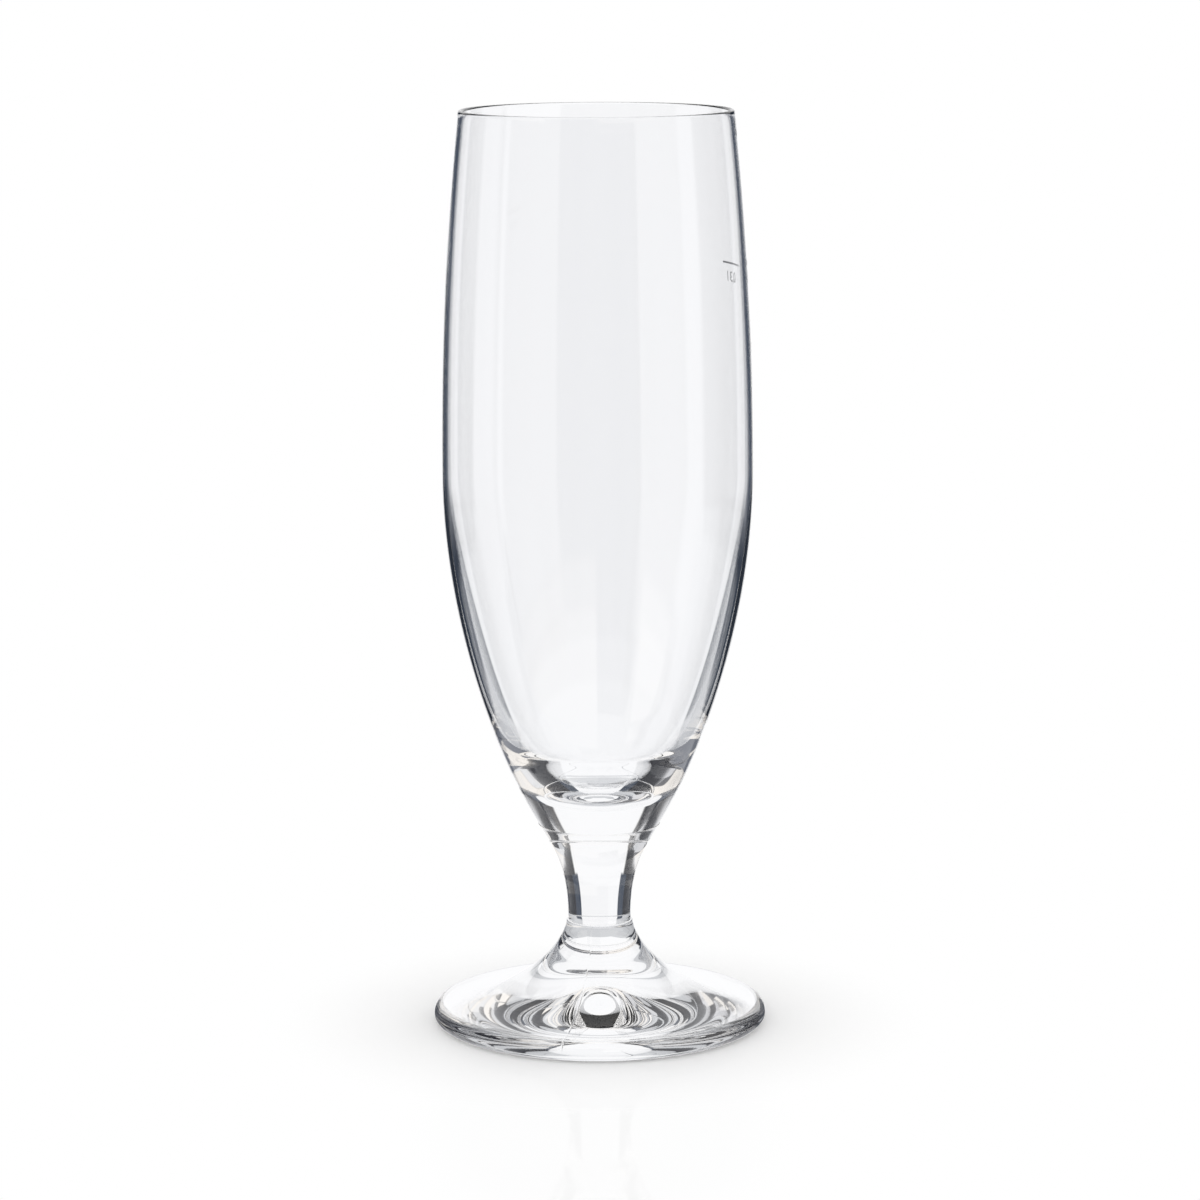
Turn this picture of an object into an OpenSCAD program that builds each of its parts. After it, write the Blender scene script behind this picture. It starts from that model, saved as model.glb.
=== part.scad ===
// Footed pilsner glass: a tall blown bowl with a heavy base, a short solid stem and a pressed foot, welded
// end to end, and a fired enamel line at the height where the bowl holds its nominal measure.
// Millimetres, +Z up. The origin is on the table, under the middle of the foot.

/* [Bowl] */
// Height of the bowl, from its weld to the top of the rim
bowl_h = 157; // [145:1:175]
// Outer diameter of the rim
rim_d = 59.8; // [55:0.2:66]
// Thickness of the fire-polished rim
rim_wall = 1.1; // [0.9:0.1:1.5]
// How far the wall leans inwards at the rim, in degrees
rim_lean = 6.3; // [3:0.1:9]
// Outer diameter at the widest place
belly_d = 67.9; // [66:0.1:76]
// Height of the widest place above the weld
belly_rise = 78; // [70:1:88]
// Wall thickness at the widest place
belly_wall = 1.2; // [1:0.1:1.8]
// Height above the weld of the cavity's heel, where its wall turns into its floor
heel_rise = 18; // [16.5:0.5:19.5]
// Thickness of the glass beside the heel
heel_wall = 4.4; // [4:0.1:5]
// How far the cavity leans outwards at the heel, in degrees
heel_lean = 36; // [33:1:39]
// Solid glass between the weld and the floor of the cavity
base_depth = 6.5; // [5.5:0.1:8]
// How far the wall leans outwards at the weld, in degrees
base_lean = 31.7; // [27:0.1:36]
// Handle of the outer curve at the rim, as a share of the height above the belly
rim_share = 0.24; // [0.15:0.01:0.35]
// Handles of the outer curve at the belly, as a share of the height above or below it
belly_share = 0.42; // [0.36:0.01:0.48]
// Handle of the outer curve at the weld, as a share of the height below the belly
base_share = 0.18; // [0.14:0.01:0.22]
// Handle of the cavity's curve at the belly, as a share of the height between heel and belly
cavity_share = 0.34; // [0.3:0.01:0.38]
// Handle of the cavity's curve above the heel, as a share of the same height
heel_up_share = 0.12; // [0.08:0.01:0.16]
// Handle of the cavity's curve below the heel, as a share of the heel's height above the floor
heel_down_share = 0.45; // [0.35:0.01:0.5]
// Handle of the cavity's curve on its floor, as a share of the heel's radius
floor_share = 0.65; // [0.5:0.01:0.7]

/* [Stem] */
// Height of the stem between its two welds
stem_h = 22; // [18:0.5:30]
// Diameter of the weld between bowl and stem
weld_d = 26.8; // [24:0.1:30]
// Diameter of the stem at its narrowest place
waist_d = 13.9; // [12:0.1:16]
// Height of the narrowest place above the foot
waist_rise = 1; // [0.5:0.1:4]
// How far the stem leans outwards below the upper weld, in degrees
stem_lean = 31; // [25:0.1:36]
// How far the weld's bead stands proud of the stem
bead_r = 0.1; // [0.1:0.05:0.4]
// Handles of the stem's curve, as a share of its height above the narrowest place
stem_share = 0.38; // [0.3:0.01:0.44]

/* [Foot] */
// Height of the foot, from the table to the weld with the stem
foot_h = 23; // [18:0.5:30]
// Diameter of the foot
foot_d = 73.8; // [68:0.2:80]
// Diameter of the foot's neck, below the weld with the stem
neck_d = 14.7; // [14.4:0.1:17]
// Thickness of the foot just inside its rounded edge
edge_h = 4.5; // [3.6:0.1:6]
// Height of the widest place on the rounded edge
edge_mid = 1.9; // [1.4:0.1:2.2]
// Width of the rounding on the upper side of the edge
edge_top_round = 2.4; // [1.5:0.1:3.5]
// Width of the rounding on the lower side of the edge
edge_low_round = 2.7; // [1.5:0.1:3.5]
// Width of the flat ring that the glass stands on
ring_w = 3; // [2:0.1:5]
// Height of the hollow under the foot, at its middle
hollow_h = 8.5; // [7:0.1:9.5]
// How far the flare leans outwards below the neck, in degrees
neck_lean = 7.8; // [4:0.1:14]
// Slope of the foot's upper side at its edge, in degrees
top_slope = 2.1; // [1:0.1:5]
// Handle of the flare at the neck, as a share of its height
neck_share = 0.34; // [0.28:0.01:0.42]
// Handle of the flare at the edge, as a share of its width
top_share = 0.58; // [0.5:0.01:0.64]
// Handle of the hollow at the ring, as a share of the ring's inner radius
hollow_ring_share = 0.8; // [0.7:0.01:0.85]
// Handle of the hollow at the middle, as a share of the ring's inner radius
hollow_mid_share = 0.18; // [0.14:0.01:0.24]

/* [Enamel] */
// Nominal measure up to the fill line, in millilitres
nominal_ml = 300; // [270:5:330]
// Length of the fill line round the wall
line_len = 11; // [6:0.5:20]
// Height of the fill line
line_h = 0.4; // [0.3:0.05:0.8]
// Thickness of the fired enamel
enamel_t = 0.1; // [0.05:0.01:0.2]
// Place of the fill line's middle round the wall, in degrees from +X towards +Y
line_turn = 18; // [0:1:360]

/* [Hidden] */

// Smoothness of the turned shapes
turn_steps = 96;
wall_steps = 24;
arc_steps = 10;

glass_colour = [0.88, 0.92, 0.95, 0.45];
enamel_colour = [0.3, 0.31, 0.33];
mm3_per_ml = 1000;

// Heights of the pieces, stacked from the table up
neck_z = foot_h;
weld_z = neck_z + stem_h;
rim_z = weld_z + bowl_h;
waist_z = neck_z + waist_rise;
belly_z = weld_z + belly_rise;
heel_z = weld_z + heel_rise;
floor_z = weld_z + base_depth;

// A cubic curve from a to d with handles b and c, leaving out its first point
function curve(a, b, c, d) = [
    for (i = [1 : wall_steps])
        let (t = i / wall_steps, s = 1 - t)
            s * s * s * a + 3 * s * s * t * b + 3 * s * t * t * c + t * t * t * d
];

// An arc about a centre with half-widths w and h, leaving out its first point
function arc(centre, w, h, start, end) = [
    for (i = [1 : arc_steps])
        let (turn = start + (end - start) * i / arc_steps)
            centre + [w * cos(turn), h * sin(turn)]
];

// A handle of a given height that leans away from the axis by an angle
function handle(rise, lean) = [abs(rise) * tan(lean), rise];

// The bowl's outer wall, from the weld up to the lip
lip_r = rim_wall / 2;
lip_centre = [rim_d / 2 - lip_r, rim_z - lip_r];
lip_reach = lip_r * [cos(rim_lean), sin(rim_lean)];
weld_edge = [weld_d / 2, weld_z];
belly = [belly_d / 2, belly_z];
above_belly = lip_centre.y - belly_z;
belly_up = [0, belly_share * above_belly];
belly_down = [0, -belly_share * belly_rise];
rim_handle = handle(-rim_share * above_belly, rim_lean);
wall = concat(
    [weld_edge],
    curve(weld_edge, weld_edge + handle(base_share * belly_rise, base_lean), belly + belly_down, belly),
    curve(belly, belly + belly_up, lip_centre + lip_reach + rim_handle, lip_centre + lip_reach)
);
wall_radii = [for (p = wall) [p.y, p.x]];

// The cavity, from the lip down to the middle of its floor: the wall thickens towards the heel
cavity_belly = belly - [belly_wall, 0];
cavity_floor = [0, floor_z];
heel = [lookup(heel_z, wall_radii) - heel_wall, heel_z];
above_heel = belly_z - heel_z;
heel_up = handle(heel_up_share * above_heel, heel_lean);
heel_down = handle(heel_down_share * (heel_z - floor_z), heel_lean);
cavity_down = [0, -cavity_share * above_heel];
floor_handle = [floor_share * heel.x, 0];
cavity = concat(
    [lip_centre - lip_reach],
    curve(lip_centre - lip_reach, lip_centre - lip_reach + rim_handle, cavity_belly + belly_up, cavity_belly),
    curve(cavity_belly, cavity_belly + cavity_down, heel + heel_up, heel),
    curve(heel, heel - heel_down, cavity_floor + floor_handle, cavity_floor)
);
lip = arc(lip_centre, lip_r, lip_r, rim_lean, rim_lean + 180);
bowl_outline = concat([[0, weld_z]], wall, lip, cavity);

// The stem, from the upper weld and its bead down to the foot
bead_centre = weld_edge - [0, bead_r];
stem_top = weld_edge - handle(2 * bead_r, stem_lean);
waist = [waist_d / 2, waist_z];
stem_rise = stem_top.y - waist_z;
stem_handle = handle(stem_share * stem_rise, stem_lean);
stem_outline = concat(
    [[0, weld_z], weld_edge],
    arc(bead_centre, bead_r, bead_r, 90, -60),
    curve(stem_top, stem_top - stem_handle, waist + [0, stem_share * stem_rise], waist),
    [[waist.x, neck_z], [0, neck_z]]
);

// The foot, from its neck down the flare, round the edge and up into the hollow underneath
neck_round = (neck_d - waist_d) / 2;
neck = [neck_d / 2, neck_z - neck_round];
edge_top = [foot_d / 2 - edge_top_round, edge_h];
ring_outer = [foot_d / 2 - edge_low_round, 0];
ring_inner = ring_outer - [ring_w, 0];
flare_h = neck.y - edge_h;
flare_w = edge_top.x - neck.x;
neck_handle = handle(-neck_share * flare_h, neck_lean);
top_handle = top_share * flare_w * [-1, tan(top_slope)];
hollow_top = [0, hollow_h];
foot_outline = concat(
    [[0, neck_z], [waist.x, neck_z]],
    arc([waist.x, neck.y], neck_round, neck_round, 90, 0),
    curve(neck, neck + neck_handle, edge_top + top_handle, edge_top),
    arc([edge_top.x, edge_mid], edge_top_round, edge_h - edge_mid, 90, 0),
    arc([ring_outer.x, edge_mid], edge_low_round, edge_mid, 0, -90),
    [ring_inner],
    curve(ring_inner, ring_inner - [hollow_ring_share * ring_inner.x, 0],
        hollow_top + [hollow_mid_share * ring_inner.x, 0], hollow_top)
);

// Volume of the cone slice between two points of the cavity
function slice(a, b) = PI / 3 * (b.y - a.y) * (a.x * a.x + a.x * b.x + b.x * b.x);

// Height at which the cavity holds a volume, filling it slice by slice from the floor
function fill_height(points, volume, i) =
    i == 0 ? points[0].y :
    let (held = slice(points[i], points[i - 1]))
        held >= volume
            ? points[i].y + (points[i - 1].y - points[i].y) * volume / held
            : fill_height(points, volume - held, i - 1);

fill_z = fill_height(cavity, nominal_ml * mm3_per_ml, len(cavity) - 1);
line_low = [lookup(fill_z - line_h / 2, wall_radii), fill_z - line_h / 2];
line_high = [lookup(fill_z + line_h / 2, wall_radii), fill_z + line_h / 2];
line_angle = line_len / line_low.x * 180 / PI;
line_outline = [line_low, line_low + [enamel_t, 0], line_high + [enamel_t, 0], line_high];

// Blown vessel with a thick lens of glass under its cavity
module bowl() {
    color(glass_colour)
        rotate_extrude($fn = turn_steps) polygon(bowl_outline);
}

// Solid stem, widening up to the weld with the bowl
module stem() {
    color(glass_colour)
        rotate_extrude($fn = turn_steps) polygon(stem_outline);
}

// Pressed foot, hollow underneath so that it stands on a flat ring
module foot() {
    color(glass_colour)
        rotate_extrude($fn = turn_steps) polygon(foot_outline);
}

// Enamel bar fired on the outside of the bowl at its nominal measure
module fill_line() {
    color(enamel_colour)
        rotate([0, 0, line_turn - line_angle / 2])
            rotate_extrude(angle = line_angle, $fn = turn_steps) polygon(line_outline);
}

bowl();
stem();
foot();
fill_line();
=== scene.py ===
import math

import bpy
import numpy as np
from mathutils import Matrix


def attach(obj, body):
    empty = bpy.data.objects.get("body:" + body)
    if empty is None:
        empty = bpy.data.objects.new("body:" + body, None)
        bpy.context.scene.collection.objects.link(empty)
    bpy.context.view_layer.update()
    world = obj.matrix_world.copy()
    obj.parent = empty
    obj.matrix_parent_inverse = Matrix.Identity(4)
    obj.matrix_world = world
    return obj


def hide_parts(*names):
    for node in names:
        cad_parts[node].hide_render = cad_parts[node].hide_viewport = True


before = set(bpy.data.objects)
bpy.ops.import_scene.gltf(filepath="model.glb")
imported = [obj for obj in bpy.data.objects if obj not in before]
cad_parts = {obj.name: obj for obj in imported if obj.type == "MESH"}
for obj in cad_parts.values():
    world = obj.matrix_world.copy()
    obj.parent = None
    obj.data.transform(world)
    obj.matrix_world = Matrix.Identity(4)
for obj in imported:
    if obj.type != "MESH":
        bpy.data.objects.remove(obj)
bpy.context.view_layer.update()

# Sizes are in metres and angles in degrees, in the frame of the CAD part: +Z up, -Y towards the camera.

# Camera, as the photograph's outline gives it
CAMERA_PLACE = (0.0004, -0.9236, 0.2543)
CAMERA_PITCH = 9.798
CAMERA_ROLL = 0.235
CAMERA_LENS = 128.03
SENSOR = 36

# Turned glass. An outline turns sharply at a corner, and by almost nothing along a straight stretch.
SEGMENTS = 288
CURVE_STEPS = {"bowl": 2, "stem": 4, "foot": 4}
CORNER = 25
BEND_LEAST = 0.02
TINY = 1e-6
DIGITS = 7

# Hollow under the foot: a low dome, with the handles of its curve as shares of its radius
HOLLOW_HEIGHT = 0.0055
HOLLOW_RING_SHARE = 0.65
HOLLOW_MID_SHARE = 0.25
HOLLOW_POINTS = 24

# Glass, with the slow waves that blowing leaves in it
GLASS_IOR = 1.52
GLASS_TINT = (0.993, 0.996, 1, 1)
WAVE_SCALE = (30, 30, 10)
WAVE_DEPTH = 0.0002
NOISE_DETAIL = 1

# Mould seams of the pressed foot
SEAM_TURNS = (-103, 77)
SEAM_HEIGHT = 0.00005
SEAM_WIDTH = 0.00012
SEAM_FADE = 0.0015
SEAM_STEPS = (-0.85, -0.6, -0.4, -0.25, -0.12, 0, 0.12, 0.25, 0.4, 0.6, 0.85)

# Fired enamel
ENAMEL_COLOURS = ((0.13, 0.135, 0.15, 1), (0.24, 0.25, 0.27, 1))
ENAMEL_ROUGHNESS = 0.45
GRAIN_SCALE = (4000, 4000, 4000)
GRAIN_DEPTH = 0.00001
FIGURES = "0,3 l"
FIGURE_HEIGHT = 0.0026
FIGURE_DROP = 0.0016
FIGURE_THICKNESS = 0.00008
FIGURE_GAP = 0.00001
FIGURE_EXTRUSION = 0.5

# Studio, as the glass sees it: panels of light with soft borders, each laid over those before it, in a dim
# room. Azimuths are from +Y, the way the camera looks, and grow to the right.
PANELS = {
    "table": {"azimuth": (-200, 200), "elevation": (-100, -40), "light": (0.64, 0.65, 0.67)},
    "table_edge": {"azimuth": (-100, 100), "elevation": (-40, -15), "light": (0.64, 0.65, 0.67)},
    "room_behind": {"azimuth": (-37, 37), "elevation": (-24, 9), "light": (0.06, 0.075, 0.105)},
    "backdrop": {"azimuth": (-30, 30), "elevation": (9, 75), "light": (1, 1, 1)},
    "front_right": {"azimuth": (148, 200), "elevation": (-40, 30), "light": (0.2, 0.21, 0.24)},
    "front_left": {"azimuth": (-200, -150), "elevation": (-40, 30), "light": (0.2, 0.21, 0.24)},
    "left_low": {"azimuth": (-150, -100), "elevation": (-40, 12), "light": (0.16, 0.16, 0.17)},
    "right_low": {"azimuth": (94, 148), "elevation": (-40, 12), "light": (0.85, 0.85, 0.86)},
    "left_side": {"azimuth": (-105, -75), "elevation": (-22, 10), "light": (0.7, 0.7, 0.72)},
    "left_high": {"azimuth": (-137, -100), "elevation": (12, 62), "light": (1, 0.95, 0.89)},
    "right_high": {"azimuth": (72, 178), "elevation": (12, 62), "light": (1, 0.95, 0.89)},
    "top": {"azimuth": (-200, 200), "elevation": (42, 100), "light": (1, 0.98, 0.96)},
}
PANEL_SOFTNESS = 1.5
ROOM_LIGHT = (0.02, 0.021, 0.027)
DOME_LIGHT = (1, 1, 1)
BACKGROUND_LIGHT = (1, 1, 1)

# Lit screens that the glass shows: one behind it, and one at each side of the bowl.
# The room is dark in the gaps between them, which draws the glass's edges.
BACK_SCREEN = {"heights": (-0.28, 0.5), "border": 0.004, "light": (0.99, 0.99, 1, 1)}
SIDE_SCREEN = {"heights": (0.075, 0.265), "border": 0.03, "light": (0.7, 0.7, 0.72, 1)}
SCREENS = (
    {"name": "back", "ends": ((-0.075, 0.16), (0.075, 0.16)), **BACK_SCREEN},
    {"name": "bowl_left", "ends": ((-0.146, 0.009), (-0.086, 0.099)), **SIDE_SCREEN},
    {"name": "bowl_right", "ends": ((0.086, 0.099), (0.146, 0.009)), **SIDE_SCREEN},
)

# Floor. Its shadow shows in a spot round the foot, and its shine in a narrow spot in front of it.
FLOOR_RADIUS = 0.6
FLOOR_COLOUR = (0.985, 0.985, 0.985, 1)
FLOOR_SHINE = 0.06
FLOOR_ROUGHNESS = 0.03
SHADOW_SPOT = {"middle": (0, 0, 0), "stretch": (1, 1, 1), "fade": (0.032, 0.075)}
SHINE_SPOT = {"middle": (0, -0.075, 0), "stretch": (2.5, 1, 1), "fade": (0.06, 0.105)}

# Bounces of light, enough for its many ways through the glass
BOUNCES = {
    "max_bounces": 40,
    "transmission_bounces": 40,
    "glossy_bounces": 20,
    "transparent_max_bounces": 40,
}


def outline(part):
    """A turned CAD node's section, as (radius, height) points along its edge from its highest open end."""
    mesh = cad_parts[part].data
    links = {}
    for edge in mesh.edges:
        ends = [mesh.vertices[i].co for i in edge.vertices]
        if all(abs(p.y) < TINY and p.x > -TINY for p in ends):
            a, b = ((round(p.x, DIGITS), round(p.z, DIGITS)) for p in ends)
            if a != b:
                links.setdefault(a, set()).add(b)
                links.setdefault(b, set()).add(a)
    chains = []
    free = set(links)
    while free:
        start = max((p for p in free if len(links[p] & free) < 2), key=lambda p: p[1])
        chain = [start]
        free.discard(start)
        while links[chain[-1]] & free:
            chain.append((links[chain[-1]] & free).pop())
            free.discard(chain[-1])
        chains.append(chain)
    return [p for chain in chains for p in chain]


def bends(points):
    """How far an outline turns at each of its inner points, in degrees."""
    steps = np.diff(np.array(points), axis=0)
    ways = np.degrees(np.arctan2(steps[:, 1], steps[:, 0]))
    return np.abs((np.diff(ways) + 180) % 360 - 180)


def plain(points):
    """An outline without the points that lie on its straight stretches."""
    kept = [p for p, bend in zip(points[1:-1], bends(points)) if bend > BEND_LEAST]
    return [points[0], *kept, points[-1]]


def domed(points):
    """The foot's outline with its hollow drawn as a dome, from the ring that it stands on to the axis."""
    ring = max(i for i, p in enumerate(points) if p[1] < TINY)
    shares = ((1, 0), (1 - HOLLOW_RING_SHARE, 0), (HOLLOW_MID_SHARE, 1), (0, 1))
    a, b, c, d = np.array(shares) * (points[ring][0], HOLLOW_HEIGHT)
    t = np.arange(1, HOLLOW_POINTS + 1)[:, None] / HOLLOW_POINTS
    dome = (1 - t) ** 3 * a + 3 * t * (1 - t) ** 2 * b + 3 * t ** 2 * (1 - t) * c + t ** 3 * d
    return points[:ring + 1] + [tuple(p) for p in dome]


def spline(points, steps):
    """A curve through an outline's points, in steps between them, level where it meets the axis."""
    p = np.array(points)
    step = np.linalg.norm(np.diff(p, axis=0), axis=1)
    last = len(p) - 1
    matrix = np.zeros((last + 1, last + 1))
    wanted = np.zeros((last + 1, 2))
    for i in range(1, last):
        matrix[i, i - 1:i + 2] = 1 / step[i - 1], 2 / step[i - 1] + 2 / step[i], 1 / step[i]
        wanted[i] = 3 * (p[i] - p[i - 1]) / step[i - 1] ** 2 + 3 * (p[i + 1] - p[i]) / step[i] ** 2
    for end, inner, low, length in ((0, 1, 0, step[0]), (last, last - 1, last - 1, step[-1])):
        if p[end, 0] < TINY:
            matrix[end, end] = 1
            wanted[end] = (np.sign(p[low + 1, 0] - p[low, 0]), 0)
        else:
            matrix[end, [end, inner]] = 2 / length, 1 / length
            wanted[end] = 3 * (p[low + 1] - p[low]) / length ** 2
    slope = np.linalg.solve(matrix, wanted)
    t = (np.arange(steps) / steps)[:, None]
    spans = [
        (1 + 2 * t) * (1 - t) ** 2 * p[i] + t * (1 - t) ** 2 * step[i] * slope[i]
        + t * t * (3 - 2 * t) * p[i + 1] + t * t * (t - 1) * step[i] * slope[i + 1]
        for i in range(last)
    ]
    return [tuple(q) for q in np.vstack([*spans, p[last:]])]


def smooth(part):
    """A turned node's outline, with its curves drawn finely and its corners kept."""
    points = plain(outline(part))
    if part == "foot":
        points = domed(points)
    corners = [i + 1 for i, bend in enumerate(bends(points)) if bend > CORNER]
    cuts = [0, *corners, len(points) - 1]
    fine = [points[0]]
    for low, high in zip(cuts, cuts[1:]):
        fine += spline(points[low:high + 1], CURVE_STEPS[part])[1:]
    most, least = np.max(points, axis=0), np.min(points, axis=0)
    return [tuple(p) for p in np.clip(fine, least, most)]


def turns(extra=()):
    """The angles of a turned piece's columns, with others added closely about some of them, in radians."""
    even = np.arange(SEGMENTS) * 360 / SEGMENTS
    added = np.array([turn + step for turn in extra for step in SEAM_STEPS]) % 360
    kept = [a for a in even if not any(abs((a - b + 180) % 360 - 180) < 360 / SEGMENTS / 2 for b in added)]
    return np.radians(np.sort(np.concatenate([kept, added])))


def seams(section, angles):
    """How far mould seams stand proud of each ring of a section, from its weld to its widest place."""
    radii = np.array(section)[:, 0]
    along = np.concatenate([[0], np.cumsum(np.linalg.norm(np.diff(section, axis=0), axis=1))])
    start, end = along[np.argmax(radii > TINY)], along[np.argmax(radii)]
    fade = np.clip(np.minimum(along - start, end - along) / SEAM_FADE, 0, 1)
    proud = np.zeros((len(section), len(angles)))
    for turn in SEAM_TURNS:
        off = (angles - math.radians(turn) + math.pi) % math.tau - math.pi
        proud += np.exp(-(radii[:, None] * off / SEAM_WIDTH) ** 2)
    return SEAM_HEIGHT * fade[:, None] * proud


def turned(name, points, angles, relief=None):
    """A closed solid of revolution. An end that is off the axis is closed by a weld disc."""
    discs = [end[0] > TINY for end in (points[0], points[-1])]
    section = [(0, points[0][1])] * discs[0] + points + [(0, points[-1][1])] * discs[1]
    ways = np.gradient(np.array(section), axis=0)
    ways /= np.linalg.norm(ways, axis=1)[:, None]
    proud = relief(section, angles) if relief else np.zeros((len(section), len(angles)))
    count = len(angles)
    vertices = []
    rings = []
    for (radius, height), (across, up), rise in zip(section, ways, proud):
        first = len(vertices)
        if radius < TINY:
            vertices.append((0, 0, height))
            rings.append([first] * count)
        else:
            radii = radius - up * rise
            heights = height + across * rise
            vertices += zip(radii * np.cos(angles), radii * np.sin(angles), heights)
            rings.append(range(first, first + count))
    faces = []
    welds = []
    for step, (upper, lower) in enumerate(zip(rings, rings[1:])):
        weld = (discs[0] and step == 0) or (discs[1] and step == len(rings) - 2)
        for i in range(count):
            j = (i + 1) % count
            corners = dict.fromkeys((upper[i], lower[i], lower[j], upper[j]))
            faces.append(tuple(corners))
            welds.append(weld)
    mesh = bpy.data.meshes.new(name)
    mesh.from_pydata(vertices, [], faces)
    mesh.materials.append(clear_glass)
    mesh.materials.append(weld_glass)
    mesh.polygons.foreach_set("material_index", np.array(welds, dtype=np.int32))
    mesh.polygons.foreach_set("use_smooth", np.ones(len(faces), dtype=bool))
    mesh.set_sharp_from_angle(angle=math.radians(CORNER))
    if volume(mesh) < 0:
        mesh.flip_normals()
    return linked(name, mesh)


def linked(name, data):
    """A new object in the scene."""
    made = bpy.data.objects.new(name, data)
    bpy.context.scene.collection.objects.link(made)
    return made


def fired_figures(name, wall):
    """The measure's figures, raised a little on the wall under the fill line, to be read from outside."""
    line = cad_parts["fill_line"]
    corners = np.array([line.matrix_world @ v.co for v in line.data.vertices])
    middle = corners.mean(axis=0)
    turn = math.atan2(middle[1], middle[0])
    top = corners[:, 2].min() - FIGURE_DROP
    words = bpy.data.curves.new(name, "FONT")
    words.body = FIGURES
    words.align_x = "CENTER"
    words.extrude = FIGURE_EXTRUSION
    flat = linked(name + "_flat", words)
    bpy.context.view_layer.update()
    mesh = bpy.data.meshes.new_from_object(flat)
    bpy.data.objects.remove(flat)
    places = np.array([v.co for v in mesh.vertices])
    scale = FIGURE_HEIGHT / (places[:, 1].max() - places[:, 1].min())
    heights = top + scale * (places[:, 1] - places[:, 1].max())
    outer = np.array(wall[:np.argmax(np.array(wall)[:, 1])])
    radii = np.interp(heights, outer[:, 1], outer[:, 0]) + FIGURE_GAP
    angles = turn + scale * places[:, 0] / radii
    radii += FIGURE_THICKNESS * (places[:, 2] + FIGURE_EXTRUSION)
    for v, place in zip(mesh.vertices, zip(radii * np.cos(angles), radii * np.sin(angles), heights)):
        v.co = place
    mesh.materials.clear()
    mesh.materials.append(enamel)
    return linked(name, mesh)


def volume(mesh):
    """Volume of a closed mesh, negative where its faces look inwards."""
    return sum(f.center.dot(f.normal) * f.area for f in mesh.polygons) / 3


def new_material(name):
    """A material with a Principled shader, and that shader."""
    material = bpy.data.materials.new(name)
    material.use_nodes = True
    return material, material.node_tree.nodes["Principled BSDF"]


def make_clear_glass():
    """Clear fire-polished soda-lime glass, not quite even."""
    material, shader = new_material("clear_glass")
    shader.inputs["Base Color"].default_value = GLASS_TINT
    shader.inputs["Roughness"].default_value = 0
    shader.inputs["IOR"].default_value = GLASS_IOR
    shader.inputs["Transmission Weight"].default_value = 1
    tree = material.node_tree
    waves = noise(tree, WAVE_SCALE)
    bump = node(tree, "ShaderNodeBump")
    bump.inputs["Distance"].default_value = WAVE_DEPTH
    tree.links.new(waves, bump.inputs["Height"])
    tree.links.new(bump.outputs["Normal"], shader.inputs["Normal"])
    return material


def make_weld_glass():
    """Glass against the same glass at a weld: nothing shows there."""
    material = bpy.data.materials.new("weld_glass")
    material.use_nodes = True
    nodes = material.node_tree.nodes
    nodes.remove(nodes["Principled BSDF"])
    clear = nodes.new("ShaderNodeBsdfTransparent")
    material.node_tree.links.new(clear.outputs["BSDF"], nodes["Material Output"].inputs["Surface"])
    return material


def make_enamel():
    """Fired grey enamel, a little uneven and grainy."""
    material, shader = new_material("enamel")
    shader.inputs["Roughness"].default_value = ENAMEL_ROUGHNESS
    tree = material.node_tree
    grain = noise(tree, GRAIN_SCALE)
    tones = node(tree, "ShaderNodeValToRGB")
    for stop, colour in zip(tones.color_ramp.elements, ENAMEL_COLOURS):
        stop.color = colour
    tree.links.new(grain, tones.inputs["Fac"])
    tree.links.new(tones.outputs["Color"], shader.inputs["Base Color"])
    bump = node(tree, "ShaderNodeBump")
    bump.inputs["Distance"].default_value = GRAIN_DEPTH
    tree.links.new(grain, bump.inputs["Height"])
    tree.links.new(bump.outputs["Normal"], shader.inputs["Normal"])
    return material


def node(tree, kind, **values):
    """A new node with properties set by name."""
    made = tree.nodes.new(kind)
    for key, value in values.items():
        setattr(made, key, value)
    return made


def noise(tree, scale):
    """A Noise texture's output, with so many waves to a metre along each axis."""
    place = node(tree, "ShaderNodeTexCoord")
    stretch = node(tree, "ShaderNodeMapping")
    stretch.inputs["Scale"].default_value = scale
    tree.links.new(place.outputs["Object"], stretch.inputs["Vector"])
    made = node(tree, "ShaderNodeTexNoise")
    made.inputs["Scale"].default_value = 1
    made.inputs["Detail"].default_value = NOISE_DETAIL
    tree.links.new(stretch.outputs["Vector"], made.inputs["Vector"])
    return made.outputs["Fac"]


def maths(tree, operation, *inputs):
    """A Math node's output, with numbers or sockets as its inputs."""
    made = node(tree, "ShaderNodeMath", operation=operation)
    for socket, value in zip(made.inputs, inputs):
        if isinstance(value, bpy.types.NodeSocket):
            tree.links.new(value, socket)
        else:
            socket.default_value = value
    return made.outputs["Value"]


def ramp(tree, value, start, end):
    """A soft ramp from 0 where a value is at a start to 1 where it is at an end."""
    made = node(tree, "ShaderNodeMapRange", interpolation_type="SMOOTHSTEP")
    tree.links.new(value, made.inputs["Value"])
    made.inputs["From Min"].default_value = start
    made.inputs["From Max"].default_value = end
    return made.outputs["Result"]


def window(tree, angle, low, high):
    """1 where an angle in degrees lies between two others, falling softly to 0 outside them."""
    edges = ((low, PANEL_SOFTNESS), (high, -PANEL_SOFTNESS))
    sides = [ramp(tree, angle, edge - soft, edge + soft) for edge, soft in edges]
    return maths(tree, "MULTIPLY", *sides)


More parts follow.
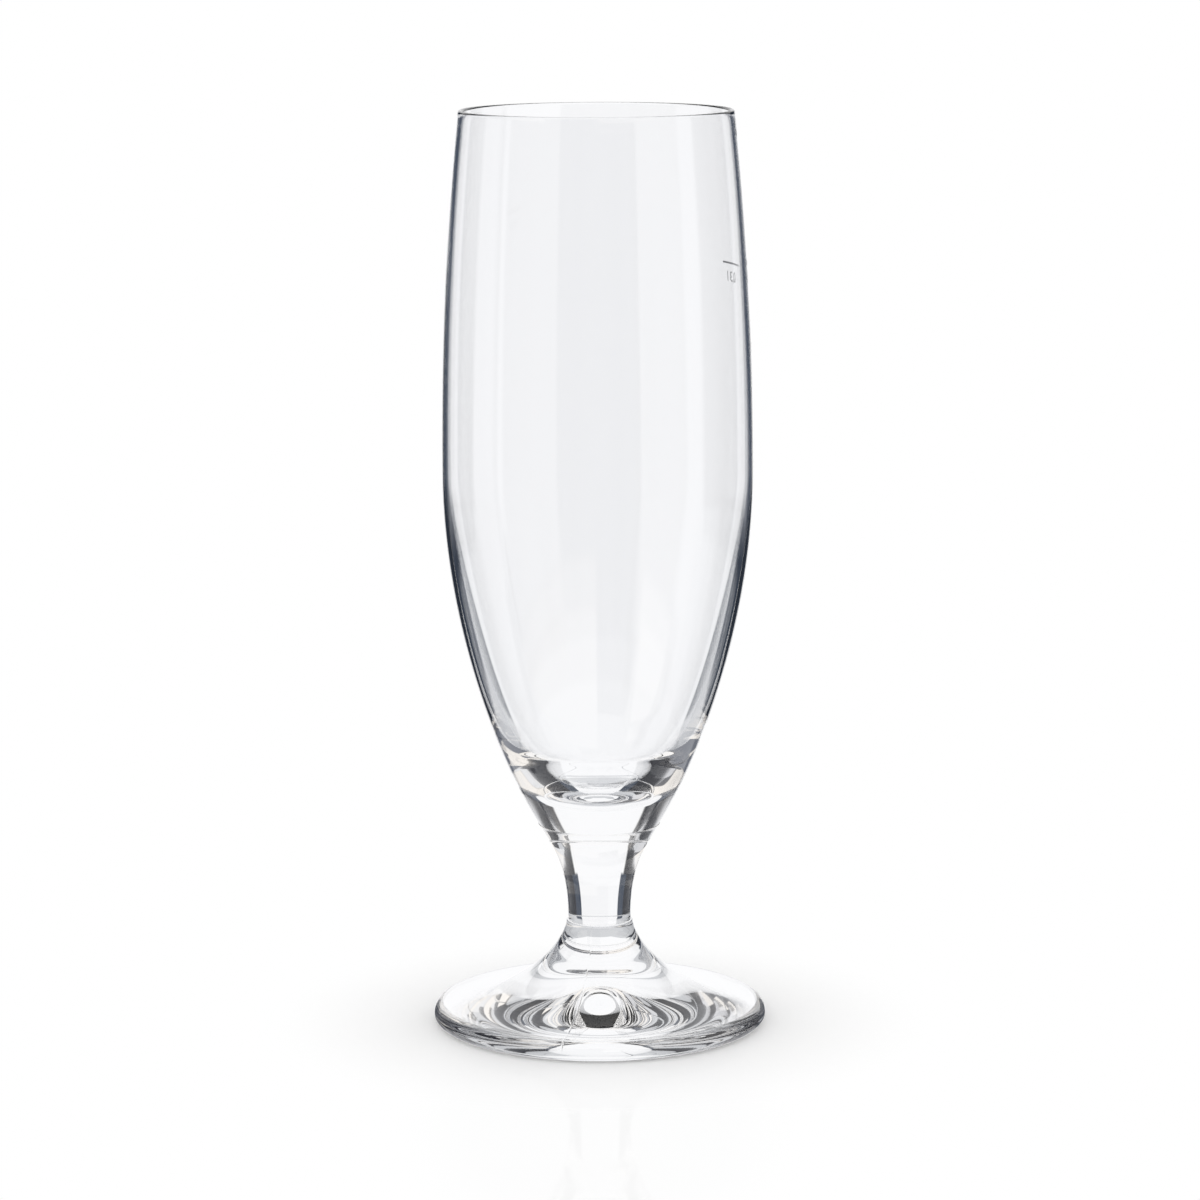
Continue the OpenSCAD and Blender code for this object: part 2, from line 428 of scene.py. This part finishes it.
def spot(tree, place, middle, stretch, fade):
    """0 in a spot, rising softly to 1 outside it. Places are stretched first, which narrows the spot."""
    stretched = node(tree, "ShaderNodeVectorMath", operation="MULTIPLY")
    tree.links.new(place, stretched.inputs[0])
    stretched.inputs[1].default_value = stretch
    reach = node(tree, "ShaderNodeVectorMath", operation="DISTANCE")
    tree.links.new(stretched.outputs["Vector"], reach.inputs[0])
    reach.inputs[1].default_value = middle
    return ramp(tree, reach.outputs["Value"], *fade)


def glow(tree, colour):
    """A Background shader's output."""
    made = node(tree, "ShaderNodeBackground")
    made.inputs["Color"].default_value = (*colour, 1)
    return made.outputs["Background"]


def mixed(tree, share, first, second):
    """A mix of two shaders, the second by a share that is a number or a socket."""
    made = node(tree, "ShaderNodeMixShader")
    if isinstance(share, bpy.types.NodeSocket):
        tree.links.new(share, made.inputs["Fac"])
    else:
        made.inputs["Fac"].default_value = share
    tree.links.new(first, made.inputs[1])
    tree.links.new(second, made.inputs[2])
    return made.outputs["Shader"]


def make_studio():
    """An even dome to matt surfaces, panels and dark gaps to glass, and a white background to the camera."""
    world = bpy.data.worlds.new("studio")
    bpy.context.scene.world = world
    world.use_nodes = True
    tree = world.node_tree
    tree.nodes.remove(tree.nodes["Background"])
    place = node(tree, "ShaderNodeTexCoord")
    split = node(tree, "ShaderNodeSeparateXYZ")
    tree.links.new(place.outputs["Generated"], split.inputs["Vector"])
    x, y, z = (split.outputs[axis] for axis in "XYZ")
    azimuth = maths(tree, "DEGREES", maths(tree, "ARCTAN2", x, y))
    elevation = maths(tree, "DEGREES", maths(tree, "ARCSINE", z))
    panels = glow(tree, ROOM_LIGHT)
    for panel in PANELS.values():
        across = window(tree, azimuth, *panel["azimuth"])
        upright = window(tree, elevation, *panel["elevation"])
        panels = mixed(tree, maths(tree, "MULTIPLY", across, upright), panels, glow(tree, panel["light"]))
    path = node(tree, "ShaderNodeLightPath")
    in_glass = maths(tree, "MAXIMUM", path.outputs["Is Glossy Ray"], path.outputs["Is Transmission Ray"])
    light = mixed(tree, in_glass, glow(tree, DOME_LIGHT), panels)
    light = mixed(tree, path.outputs["Is Camera Ray"], light, glow(tree, BACKGROUND_LIGHT))
    tree.links.new(light, tree.nodes["World Output"].inputs["Surface"])


def make_screen(name, ends, heights, border, light):
    """An upright lit screen that fades towards its border, which only glass sees."""
    start, end = (np.array(place) for place in ends)
    wide, high = np.linalg.norm(end - start) / 2, (heights[1] - heights[0]) / 2
    name += "_screen"
    mesh = bpy.data.meshes.new(name)
    corners = [(-wide, 0, -high), (wide, 0, -high), (wide, 0, high), (-wide, 0, high)]
    mesh.from_pydata(corners, [], [tuple(range(len(corners)))])
    screen = linked(name, mesh)
    turn = math.atan2(*(end - start)[::-1])
    middle = Matrix.Translation((*(start + end) / 2, sum(heights) / 2))
    screen.matrix_world = middle @ Matrix.Rotation(turn, 4, "Z")
    screen.visible_camera = False
    screen.visible_diffuse = False
    screen.visible_shadow = False

    material = bpy.data.materials.new(name)
    material.use_nodes = True
    mesh.materials.append(material)
    tree = material.node_tree
    tree.nodes.remove(tree.nodes["Principled BSDF"])
    lit = node(tree, "ShaderNodeEmission")
    lit.inputs["Color"].default_value = light
    clear = node(tree, "ShaderNodeBsdfTransparent")
    place = node(tree, "ShaderNodeTexCoord")
    split = node(tree, "ShaderNodeSeparateXYZ")
    tree.links.new(place.outputs["Object"], split.inputs["Vector"])
    sides = [ramp(tree, maths(tree, "ABSOLUTE", split.outputs[axis]), reach - border, reach)
             for axis, reach in (("X", wide), ("Z", high))]
    shown = mixed(tree, maths(tree, "MAXIMUM", *sides), lit.outputs["Emission"], clear.outputs["BSDF"])
    tree.links.new(shown, tree.nodes["Material Output"].inputs["Surface"])


def make_floor():
    """A white table with a faint shine, which fades into the background. Glass sees the studio instead."""
    mesh = bpy.data.meshes.new("floor")
    corners = [(FLOOR_RADIUS * math.cos(a), FLOOR_RADIUS * math.sin(a), 0)
               for a in np.arange(SEGMENTS) * math.tau / SEGMENTS]
    mesh.from_pydata(corners, [], [tuple(range(SEGMENTS))])
    floor = linked("floor", mesh)
    floor.visible_transmission = False
    floor.visible_glossy = False

    material = bpy.data.materials.new("white_table")
    material.use_nodes = True
    mesh.materials.append(material)
    tree = material.node_tree
    tree.nodes.remove(tree.nodes["Principled BSDF"])
    matt = node(tree, "ShaderNodeBsdfDiffuse")
    matt.inputs["Color"].default_value = FLOOR_COLOUR
    shine = node(tree, "ShaderNodeBsdfGlossy")
    shine.inputs["Roughness"].default_value = FLOOR_ROUGHNESS
    white = node(tree, "ShaderNodeEmission")
    place = node(tree, "ShaderNodeTexCoord").outputs["Object"]
    shown = mixed(tree, spot(tree, place, **SHADOW_SPOT), matt.outputs["BSDF"], white.outputs["Emission"])
    in_spot = maths(tree, "SUBTRACT", 1, spot(tree, place, **SHINE_SPOT))
    share = maths(tree, "MULTIPLY", FLOOR_SHINE, in_spot)
    shiny = mixed(tree, share, shown, shine.outputs["BSDF"])
    tree.links.new(shiny, tree.nodes["Material Output"].inputs["Surface"])


def make_camera():
    """The photograph's camera, looking a little down and rolled a little."""
    data = bpy.data.cameras.new("camera")
    data.lens = CAMERA_LENS
    data.sensor_width = SENSOR
    camera = linked("camera", data)
    look = Matrix.Rotation(math.radians(90 - CAMERA_PITCH), 4, "X")
    roll = Matrix.Rotation(math.radians(-CAMERA_ROLL), 4, "Z")
    camera.matrix_world = Matrix.Translation(CAMERA_PLACE) @ look @ roll
    bpy.context.scene.camera = camera


scene = bpy.context.scene
scene.view_settings.view_transform = "Standard"
for kind, most in BOUNCES.items():
    setattr(scene.cycles, kind, most)
scene.cycles.caustics_refractive = True
scene.cycles.caustics_reflective = True

make_camera()
make_studio()
for screen in SCREENS:
    make_screen(**screen)
make_floor()
clear_glass = make_clear_glass()
weld_glass = make_weld_glass()
enamel = make_enamel()

for part, columns, relief in (
    ("bowl", turns(), None),
    ("stem", turns(), None),
    ("foot", turns(SEAM_TURNS), seams),
):
    piece = turned(part + "_glass", smooth(part), columns, relief)
    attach(piece, "root")
    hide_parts(part)

figures = fired_figures("measure_figures", smooth("bowl"))
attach(figures, "root")

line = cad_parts["fill_line"]
line.data.materials.clear()
line.data.materials.append(enamel)
